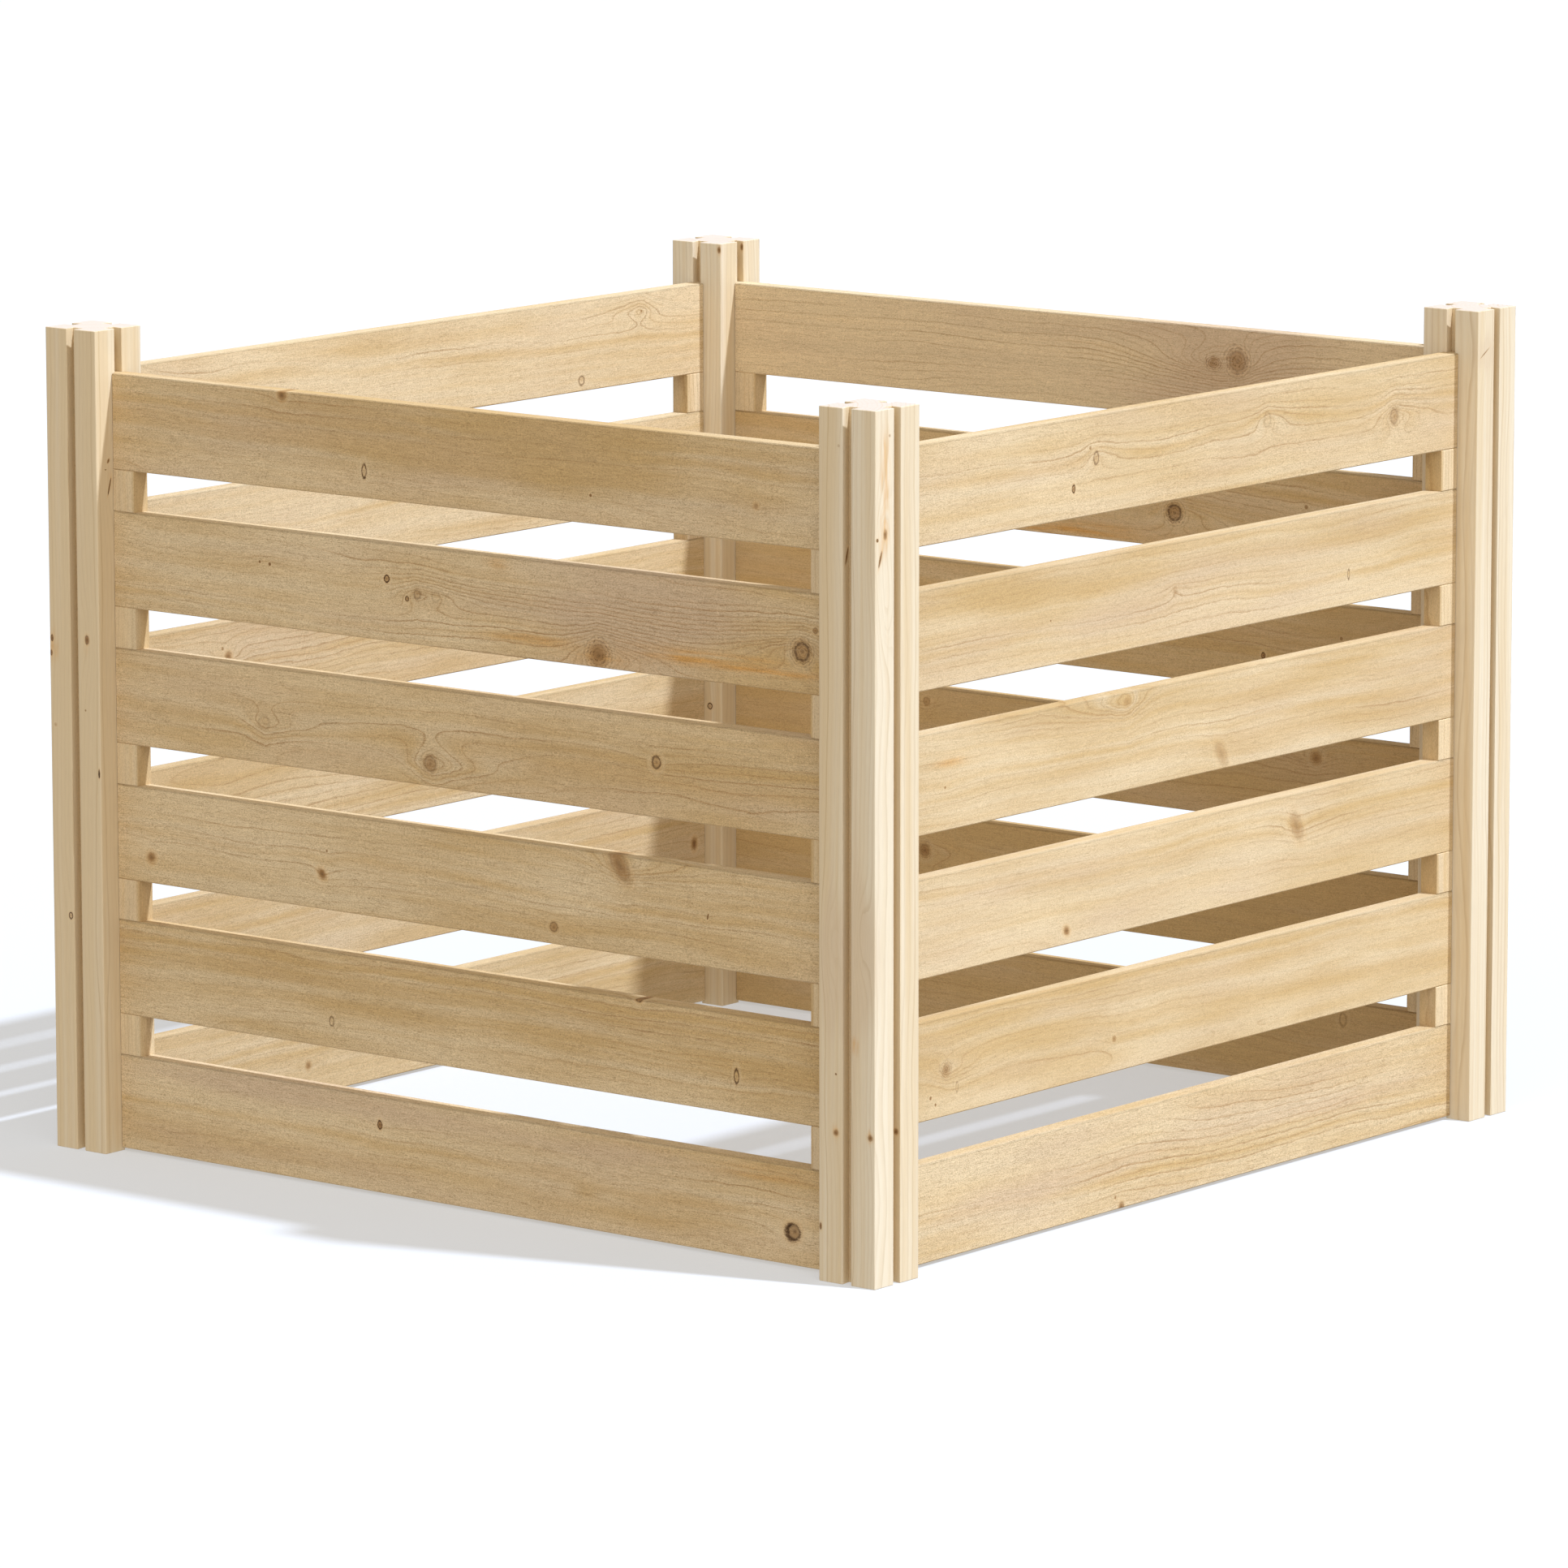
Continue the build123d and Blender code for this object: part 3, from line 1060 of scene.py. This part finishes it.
def write_knots(mesh, knots):
    """Keeps each face corner's way from the knot nearest to its face, and how that knot looks.

    Each knot comes with every vertex's way from it, aside and above in knot radii, and with the
    faces that may show it, or None for all of them.
    """
    vertex = np.empty(len(mesh.loops), dtype=np.int32)
    mesh.loops.foreach_get("vertex_index", vertex)
    sides = face_sides(mesh)
    first = np.concatenate(([0], np.cumsum(sides)[:-1]))
    face = np.repeat(np.arange(len(sides)), sides)

    nearest = np.full(len(sides), FAR_AWAY)
    ways = np.tile((FAR_AWAY, FAR_AWAY, 0.0), (len(vertex), 1))
    looks = np.zeros((len(vertex), 3))
    for knot, aside, above, shown in knots:
        aside, above = aside[vertex], above[vertex]
        away = np.hypot(np.add.reduceat(aside, first), np.add.reduceat(above, first)) / sides
        closer = away < nearest
        if shown is not None:
            closer &= shown
        nearest[closer] = away[closer]
        mine = closer[face]
        ways[mine] = np.column_stack((aside, above, np.full(len(face), knot.rings)))[mine]
        looks[mine] = (knot.rim, knot.fill, knot.hole)
    write_layer(mesh, "knot", ways, "CORNER")
    write_layer(mesh, "knot_look", looks, "CORNER")


def way_from(knot, along, up):
    """How far places lie aside of and above a knot, in knot radii."""
    above = (up - knot.up) / (knot.radius * knot.tall)
    aside = (along - knot.along - knot.lean * (up - knot.up)) / knot.radius
    return aside, above


def bell(value, middle, width):
    """A bell curve of height 1."""
    return np.exp(-(((value - middle) / width) ** 2))


def lay_patches(tone, patches, along, up, shown=1.0):
    """Adds the ochre, pink, resin and figure of each patch to the four columns of a tone."""
    for patch in patches:
        around = bell(along, patch.along, patch.long) * bell(up, patch.up, patch.high) * shown
        tone += np.outer(around, patch[PATCH_TONE:])


def weigh(piece, name, weights):
    """Gives a piece a vertex group with these weights."""
    group = piece.vertex_groups.new(name=name)
    for index in np.flatnonzero(weights > 0.01):
        group.add([int(index)], float(weights[index]), "REPLACE")


def displace(piece, group, strength, texture=None):
    """Moves the vertices of a group along their normals, for good."""
    hold(piece)
    modifier = piece.modifiers.new(group, "DISPLACE")
    modifier.vertex_group = group
    modifier.strength = strength
    modifier.mid_level = 0.5 if texture else 0.0
    modifier.texture = texture
    modifier.texture_coords = "LOCAL"
    bpy.ops.object.modifier_apply(modifier=modifier.name)


def clouds(name, size):
    """A soft noise for relief."""
    texture = bpy.data.textures.new(name, "CLOUDS")
    texture.noise_scale = size
    texture.noise_depth = 2
    return texture


def upright_turn(degrees):
    """A turn about the upright axis."""
    return Matrix.Rotation(math.radians(degrees), 4, "Z")


def seat(piece, node, material):
    """Dresses a piece, puts it on the body of the node that it stands for, and hides the node."""
    piece.data.materials.clear()
    piece.data.materials.append(material)
    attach(piece, frame["nodes"][node]["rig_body"])
    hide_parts(node)


def random_knots(rng):
    """A few knots for a board that has none listed."""
    return tuple(
        Knot(
            rng.uniform(-390, 390),
            rng.uniform(-38, 38),
            rng.uniform(1.5, 5.5),
            rim=rng.uniform(0.2, 0.9),
            fill=rng.choice((0.0, 0.1, 0.6)),
            rings=rng.choice((0.0, 0.5)),
            tall=rng.uniform(1.0, 1.8),
        )
        for _ in range(rng.randint(1, 3))
    )


def grain_flame(aside, above, knot):
    """How the grain bends round a knot: long and pointed on one side of it."""
    size = knot.radius * max(abs(knot.flame), 1.0)
    reach = np.where(aside * knot.flame > 0, 14 + 4.5 * size, 8 + 1.5 * size)
    way = np.hypot(aside / reach, 0.12) + np.hypot(above / (5 + 1.1 * size), 0.25)
    return np.exp(0.37 - way)


def grain_board(board, key, joinery):
    """Gives a board of the front wall its own grain, knots and colour."""
    rng = random.Random(key)
    mesh = board.data
    along, through, up = vertex_places(mesh).T
    half_height = BOARD_HEIGHT / MM / 2
    half_depth = BOARD_THICKNESS / MM / 2
    up = up - half_height
    knots = BOARD_KNOTS.get(key) or random_knots(rng)

    heart_up = rng.choice((-1, 1)) * rng.uniform(25, 75)
    heart_through = rng.choice((-1, 1)) * rng.uniform(20, 60)
    lean = rng.uniform(-0.035, 0.035)
    start = rng.uniform(0, GRAIN_RUN)
    heart_way = through - heart_through + lean * along
    write_layer(mesh, "grain", np.column_stack((along + start, up - heart_up, heart_way)))

    figure = np.zeros(len(along))
    for knot in knots:
        flame = grain_flame(along - knot.along, up - knot.up, knot)
        figure += min(0.12 * knot.radius * abs(knot.flame), 0.5) * np.sqrt(flame)

    def swirl_at(along, up):
        return sum(
            BOARD_SWIRL
            * knot.radius
            * abs(knot.flame)
            * grain_flame(along - knot.along, up - knot.up, knot)
            for knot in knots
        )

    def ring_at(along, up):
        heart_away = np.hypot(up - heart_up, through - heart_through + lean * along)
        return heart_away + swirl_at(along, up)

    here = ring_at(along, up)
    step = 0.5
    slope = np.hypot(ring_at(along + step, up) - here, ring_at(along, up + step) - here) / step
    slope = np.hypot(slope, 0.12)

    zero = np.zeros(len(along))
    # The board's tone, with light and shade painted wall by wall.
    ochre = zero + BOARD_TONES_AND_PAINTED_LIGHT.get(key, COMMON_TONE)
    pink = zero + rng.uniform(-0.05, 0.15)
    tone = np.column_stack((ochre, pink, zero, figure))
    lay_patches(tone, BOARD_PATCHES.get(key, ()), along, up)
    write_layer(mesh, "tone", tone[:, :3])
    figure = np.clip(tone[:, 3], 0, 0.5)
    write_layer(mesh, "flow", np.column_stack((swirl_at(along, up), figure, slope)))
    rough = zero + ROUGHNESS.get(key, ROUGHNESS[key.split("_")[0]])
    write_layer(mesh, "place", np.column_stack((rough, through / half_depth, up / half_height)))
    write_knots(mesh, [(knot, *way_from(knot, along, up), None) for knot in knots])

    broad = np.abs(through) > half_depth - 0.1
    clear = np.abs(along) < shoulder_place(joinery) / MM - SAW_CLEAR_END
    inside = np.abs(up) < half_height - SAW_CLEAR_EDGE
    weigh(board, "sawn", (broad & clear & inside).astype(float))
    depth = np.zeros(len(along))
    for knot in knots:
        away = np.hypot(*way_from(knot, along, up))
        depth = np.maximum(depth, min(knot.rim, 1.0) * np.clip(1.3 - away, 0, 1))
    weigh(board, "knots", depth * broad * clear)


def cut_hollow(board, knot, joinery):
    """Cuts a ragged round hollow into the outer face of a board of the front wall."""
    clear_selection()
    bpy.ops.mesh.primitive_cylinder_add(
        vertices=28,
        radius=knot.radius * MM,
        depth=2 * joinery.hole_depth,
        location=(knot.along * MM, -BOARD_THICKNESS / 2, BOARD_HEIGHT / 2 + knot.up * MM),
        rotation=Vector((0, 1, 0)).to_track_quat("Z", "Y").to_euler(),
    )
    cutter = bpy.context.object
    with editing(cutter):
        bpy.ops.mesh.select_all(action="SELECT")
        bpy.ops.transform.vertex_random(offset=joinery.hole_ragged, seed=4)
    hold(board)
    cut = board.modifiers.new("hollow", "BOOLEAN")
    cut.operation = "DIFFERENCE"
    cut.solver = "EXACT"
    cut.object = cutter
    bpy.ops.object.modifier_apply(modifier=cut.name)
    bpy.data.objects.remove(cutter)


class COMPOST_OT_boards(bpy.types.Operator):
    """Models a rough-sawn board once and dresses a copy of it for each course of each wall"""

    bl_idname = "compost_bin.boards"
    bl_label = "Sawn boards"

    def execute(self, context):
        joinery = context.scene.compost_joinery
        material = sawn_finish(context.scene.compost_timber)
        relief = clouds("saw_waves", 7 * MM)
        shoulder = shoulder_place(joinery)
        ends = (-shoulder, shoulder)
        arris = joinery.board_arris
        pattern = make_slat("board_pattern", joinery, ends, BOARD_HEIGHT, arris, (-1, 1))
        for wall, turn in WALLS.items():
            for course in range(1, COURSES + 1):
                key = f"{wall}_{course}"
                node = f"board_{key}"
                board = own_copy(pattern, f"sawn_board_{key}")
                for knot in HOLLOWS.get(key, ()):
                    cut_hollow(board, knot, joinery)
                grain_board(board, key, joinery)
                lift = Matrix.Translation((0, WALL_MIDDLE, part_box(node)[0].z))
                board.data.transform(upright_turn(turn) @ lift)
                displace(board, "sawn", joinery.saw_relief, relief)
                displace(board, "knots", -joinery.knot_relief)
                seat(board, node, material)
        bpy.data.objects.remove(pattern)
        return {"FINISHED"}


def grain_post(post, corner):
    """Gives an upright post its own grain, knots and colour."""
    rng = random.Random(corner)
    mesh = post.data
    x, y, z = vertex_places(mesh).T
    heart_x = rng.uniform(40, 90) * rng.choice((-1, 1))
    heart_y = rng.uniform(40, 90) * rng.choice((-1, 1))
    start = rng.uniform(0, GRAIN_RUN)
    lean = rng.uniform(-0.006, 0.006)
    write_layer(mesh, "grain", np.column_stack((z + start, x - heart_x + lean * z, y - heart_y)))

    normals = np.empty(len(mesh.polygons) * 3)
    mesh.polygons.foreach_get("normal", normals)
    normals = normals.reshape(-1, 3)
    end = np.repeat(np.abs(normals[:, 2]) > FACING, face_sides(mesh))
    write_layer(mesh, "end", np.column_stack((end, end, end)), "CORNER")

    reach = POST_SIDE / MM / 2
    # Painted highlight: the wood is paler within 2 mm of each long corner of the post.
    edge = np.clip(1 - (reach - np.minimum(np.abs(x), np.abs(y))) / 2, 0, 1)
    sunken = np.clip((reach - np.maximum(np.abs(x), np.abs(y))) / GROOVE_SHADE, 0, 1)
    zero = np.zeros(len(x))
    swirl = np.zeros(len(x))
    # Painted shade: the wood grows more ochre with depth in a groove.
    tone = np.column_stack((rng.uniform(0.4, 0.6) + 0.5 * sunken, zero, zero, zero))
    knots = []
    for way, spots in POST_KNOTS[corner].items():
        place = x * abs(way[1]) + y * abs(way[0])
        on_face = bell(x * way[0] + y * way[1], reach, 8)
        for knot in spots:
            around = bell(place, knot.along, 9) * bell(z, knot.up, 40) * on_face
            swirl += POST_SWIRL * knot.radius * knot.flame * around
            knots.append((knot, *way_from(knot, place, z), normals @ (*way, 0) > 0.7))
        lay_patches(tone, POST_PATCHES[corner].get(way, ()), place, z, on_face)
    write_layer(mesh, "flow", np.column_stack((swirl, 0.5 * sunken, edge)))
    write_layer(mesh, "tone", tone[:, :3])
    write_knots(mesh, knots)


class COMPOST_OT_posts(bpy.types.Operator):
    """Models a grooved post once and dresses a copy of it for each corner"""

    bl_idname = "compost_bin.posts"
    bl_label = "Planed posts"

    def execute(self, context):
        joinery = context.scene.compost_joinery
        material = planed_finish(context.scene.compost_timber)
        pattern = make_post("post_pattern", joinery)
        for corner in CORNERS:
            node = f"post_{corner}"
            low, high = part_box(node)
            post = own_copy(pattern, f"planed_post_{corner}")
            grain_post(post, corner)
            place = Vector(((low.x + high.x) / 2, (low.y + high.y) / 2, low.z))
            post.data.transform(Matrix.Translation(place))
            seat(post, node, material)
        bpy.data.objects.remove(pattern)
        return {"FINISHED"}


def grain_spacer(spacer, key):
    """Gives a spacer block of the front wall its own grain and colour."""
    rng = random.Random(key)
    mesh = spacer.data
    along, through, up = vertex_places(mesh).T
    heart = (rng.uniform(-60, 60), rng.choice((-1, 1)) * rng.uniform(30, 70))
    start = rng.uniform(0, GRAIN_RUN)
    write_layer(mesh, "grain", np.column_stack((up + start, along - heart[0], through - heart[1])))
    zero = np.zeros(len(along))
    # Painted shade: the inner end of each block, which stands mostly in shade between the boards, is
    # more ochre.
    painted_end_shade = (along < along.min() + 0.1) * 0.9
    ochre = rng.uniform(-0.4, 0.1) + painted_end_shade
    write_layer(mesh, "flow", np.column_stack((zero, zero + rng.uniform(0.0, 0.3), zero + 0.7)))
    write_layer(mesh, "tone", np.column_stack((ochre, zero + rng.uniform(-0.1, 0.2), zero)))
    write_layer(mesh, "place", np.column_stack((zero + 0.5, zero, zero)))
    write_knots(mesh, [])


class COMPOST_OT_spacers(bpy.types.Operator):
    """Models a spacer block once and dresses a pair of copies for each gap of each wall"""

    bl_idname = "compost_bin.spacers"
    bl_label = "Spacer blocks"

    def execute(self, context):
        joinery = context.scene.compost_joinery
        material = sawn_finish(context.scene.compost_timber)
        shoulder = shoulder_place(joinery)
        ends = (shoulder - joinery.spacer_length, shoulder)
        arris = joinery.spacer_arris
        pattern = make_slat("spacer_pattern", joinery, ends, SPACER_HEIGHT, arris, (1,))
        for wall, turn in WALLS.items():
            for course in range(1, COURSES):
                key = f"{wall}_{course}"
                node = f"spacers_{key}"
                lift = Matrix.Translation((0, WALL_MIDDLE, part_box(node)[0].z))
                pair = []
                for end, half_turn in (("right", 0), ("left", 180)):
                    block = own_copy(pattern, f"spacer_{key}_{end}")
                    grain_spacer(block, f"{key}_{end}")
                    block.data.transform(upright_turn(turn) @ lift @ upright_turn(half_turn))
                    pair.append(block)
                hold(pair[0])
                pair[1].select_set(True)
                bpy.ops.object.join()
                joined = pair[0]
                joined.name = f"spacer_pair_{key}"
                joined.data.name = joined.name
                seat(joined, node, material)
        bpy.data.objects.remove(pattern)
        return {"FINISHED"}


def seen_directly(sheet):
    """1 for rays that show the background as it is, 0 for those that carry its light."""
    path = sheet.node("ShaderNodeLightPath", output="Is Camera Ray")
    rays = path.socket.node.outputs
    shiny = sheet.maths("MAXIMUM", path, Value(sheet, rays["Is Glossy Ray"]))
    return sheet.maths("MAXIMUM", shiny, Value(sheet, rays["Is Transmission Ray"]))


def floor_finish(look):
    """Pale floor that reads as white where the sun lies on it and keeps the shadow."""
    material, sheet = material_sheet("pale_floor")
    matt = sheet.node("ShaderNodeBsdfDiffuse", None, {"Color": sheet.paint(look.floor_colour)})
    glow = sheet.node("ShaderNodeEmission", None, {"Color": sheet.paint((1, 1, 1)), "Strength": 1.0})
    share = seen_directly(sheet) * look.floor_glow
    surface = sheet.node("ShaderNodeMixShader", None, {0: share, 1: matt, 2: glow})
    sheet.node("ShaderNodeOutputMaterial", None, {"Surface": surface})
    return material


def add_sky(scene, look):
    """Soft light from all round, and plain white where the camera looks past the floor."""
    world = bpy.data.worlds.new("studio_sky")
    world.use_nodes = True
    scene.world = world
    sheet = Sheet(world.node_tree)
    light = sheet.node(
        "ShaderNodeBackground",
        None,
        {"Color": sheet.paint(look.sky_colour), "Strength": look.sky_strength},
    )
    white = sheet.node("ShaderNodeBackground", None, {"Color": sheet.paint((1, 1, 1))})
    surface = sheet.node("ShaderNodeMixShader", None, {0: seen_directly(sheet), 1: light, 2: white})
    sheet.node("ShaderNodeOutputWorld", None, {"Surface": surface})


def add_floor(look):
    """The floor under the posts."""
    clear_selection()
    bpy.ops.mesh.primitive_plane_add(size=look.floor_side, location=(0, 0, -look.floor_drop))
    floor = bpy.context.object
    floor.name = "floor"
    floor.data.materials.append(floor_finish(look))
    floor.visible_diffuse = False  # the sky lights the bin from all round


def add_lamp(look, name):
    """A far lamp, the sun or the fill, that shines from one way and is softer the larger it looks."""
    azimuth, elevation, size, strength, shade = (
        getattr(look, f"{name}_{part}")
        for part in ("azimuth", "elevation", "size", "strength", "colour")
    )
    clear_selection()
    bpy.ops.object.light_add(type="SUN")
    lamp = bpy.context.object
    lamp.name = name
    lean = Matrix.Rotation(math.pi / 2 - elevation, 4, "Y")
    lamp.matrix_world = Matrix.Rotation(azimuth, 4, "Z") @ lean
    lamp.data.energy = strength
    lamp.data.color = shade
    lamp.data.angle = size


def add_camera(scene, look):
    """The camera at the photographed angle."""
    clear_selection()
    bpy.ops.object.camera_add()
    camera = bpy.context.object
    camera.name = "camera"
    camera.data.lens = look.camera_lens
    camera.matrix_world = (
        Matrix.Translation(look.camera_place)
        @ Matrix.Rotation(look.camera_turn, 4, "Z")
        @ Matrix.Rotation(look.camera_tilt, 4, "X")
        @ Matrix.Rotation(look.camera_roll, 4, "Z")
    )
    scene.camera = camera


class COMPOST_OT_stage(bpy.types.Operator):
    """Adds the floor, the lamps, the sky and the camera"""

    bl_idname = "compost_bin.stage"
    bl_label = "Stage"

    def execute(self, context):
        scene = context.scene
        look = scene.compost_stage
        add_floor(look)
        add_lamp(look, "sun")
        add_lamp(look, "fill")
        add_sky(scene, look)
        add_camera(scene, look)
        scene.view_settings.view_transform = "Standard"
        return {"FINISHED"}


class COMPOST_PT_sidebar(bpy.types.Panel):
    """Lists the sizes, the finishes and the steps that build the bin"""

    bl_label = "Compost bin"
    bl_idname = "COMPOST_PT_sidebar"
    bl_space_type = "VIEW_3D"
    bl_region_type = "UI"
    bl_category = "Compost bin"

    def draw(self, context):
        scene = context.scene
        for group in (scene.compost_joinery, scene.compost_timber, scene.compost_stage):
            box = self.layout.box()
            for name in group.__annotations__:
                box.prop(group, name)
        for step in STEPS:
            self.layout.operator(step.bl_idname)


STEPS = (COMPOST_OT_posts, COMPOST_OT_boards, COMPOST_OT_spacers, COMPOST_OT_stage)
GROUPS = {
    "compost_joinery": JoinerySizes,
    "compost_timber": TimberFinish,
    "compost_stage": StageLook,
}


def register():
    for kind in (*GROUPS.values(), *STEPS, COMPOST_PT_sidebar):
        bpy.utils.register_class(kind)
    for name, kind in GROUPS.items():
        setattr(bpy.types.Scene, name, PointerProperty(type=kind))


def unregister():
    for name in GROUPS:
        delattr(bpy.types.Scene, name)
    for kind in (COMPOST_PT_sidebar, *STEPS, *GROUPS.values()):
        bpy.utils.unregister_class(kind)


def main():
    register()
    bpy.ops.compost_bin.posts()
    bpy.ops.compost_bin.boards()
    bpy.ops.compost_bin.spacers()
    bpy.ops.compost_bin.stage()


if __name__ == "__main__":
    main()
